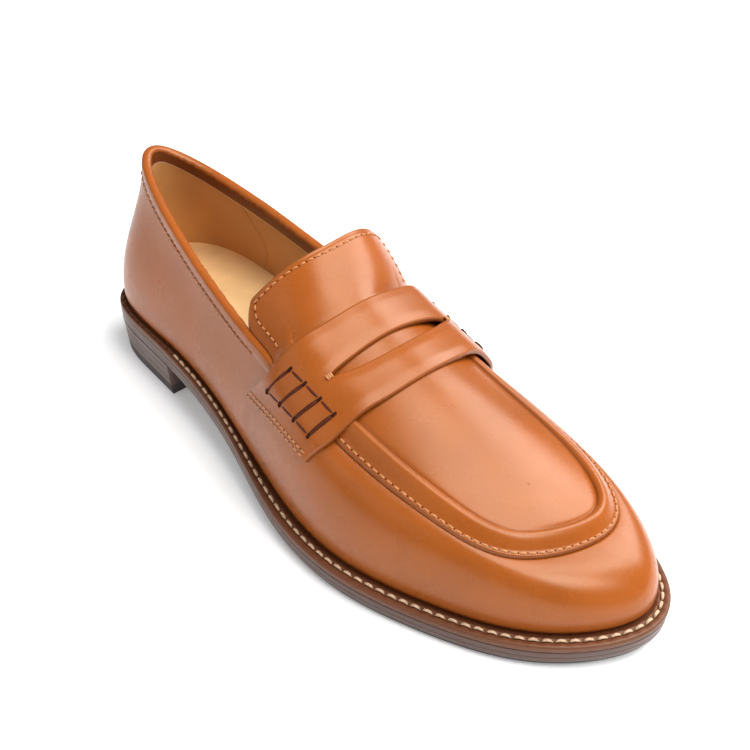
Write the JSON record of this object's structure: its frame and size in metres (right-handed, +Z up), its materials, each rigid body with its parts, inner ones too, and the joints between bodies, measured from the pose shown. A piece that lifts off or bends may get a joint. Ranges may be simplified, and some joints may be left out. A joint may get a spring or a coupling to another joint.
{
  "type": "penny loafer",
  "caption": "Slip-on leather loafer with a saddle strap, raised moccasin apron, stitched welt and low stacked heel, right foot.",
  "frame": {"origin": "on the ground under the middle of the shoe's bounding box", "axes": "+X towards the toe, +Y towards the inner side of the foot, +Z up"},
  "size_m": [0.3, 0.1132, 0.0976],
  "materials": {
    "upper_leather": "smooth tan calf, semi-gloss",
    "facing_leather": "smooth brown calf, satin",
    "lining_leather": "matt vegetable-tanned lining",
    "sock_leather": "matt pale leather",
    "insole_leather": "matt",
    "sole_leather": "dyed and waxed edge",
    "welt_leather": "dark waxed",
    "sole_rubber": "matt",
    "heel_rubber": "matt",
    "stiffener": "stiffened felt",
    "backing_cloth": "cotton cloth",
    "cord": "cotton cord",
    "rib_canvas": "glued canvas",
    "foam": "soft foam",
    "cork": "granular cork",
    "shank_steel": "spring steel",
    "nail_steel": "plain steel",
    "welt_thread": "waxed cream thread",
    "upper_thread": "tan thread",
    "lace": "dark waxed lace"
  },
  "bodies": {
    "root": {"vamp": "upper_leather", "backstay": "upper_leather", "topline_binding": "upper_leather", "collar_facing": "facing_leather", "apron": "upper_leather", "apron_cord": "cord", "apron_lining": "lining_leather", "saddle_strap": "upper_leather", "vamp_lining": "lining_leather", "quarter_lining_outer": "lining_leather", "quarter_lining_inner": "lining_leather", "heel_grip": "lining_leather", "toe_puff": "stiffener", "heel_counter": "stiffener", "side_backer_outer": "backing_cloth", "side_backer_inner": "backing_cloth", "insole_board": "insole_leather", "insole_rib": "rib_canvas", "sock_liner": "sock_leather", "heel_pad": "foam", "cork_filler": "cork", "shank": "shank_steel", "welt": "welt_leather", "heel_rand": "welt_leather", "outsole": "sole_leather", "rubber_forepart": "sole_rubber", "heel_lift_lower": "sole_leather", "heel_lift_middle": "sole_leather", "heel_lift_upper": "sole_leather", "top_piece": "heel_rubber", "heel_nails": "nail_steel", "welt_stitching": "welt_thread", "apron_stitching": "upper_thread", "tongue_stitching": "upper_thread", "topline_stitching": "upper_thread", "strap_end_stitching": "upper_thread", "strap_hand_lacing": "lace"}
  },
  "joints": []
}
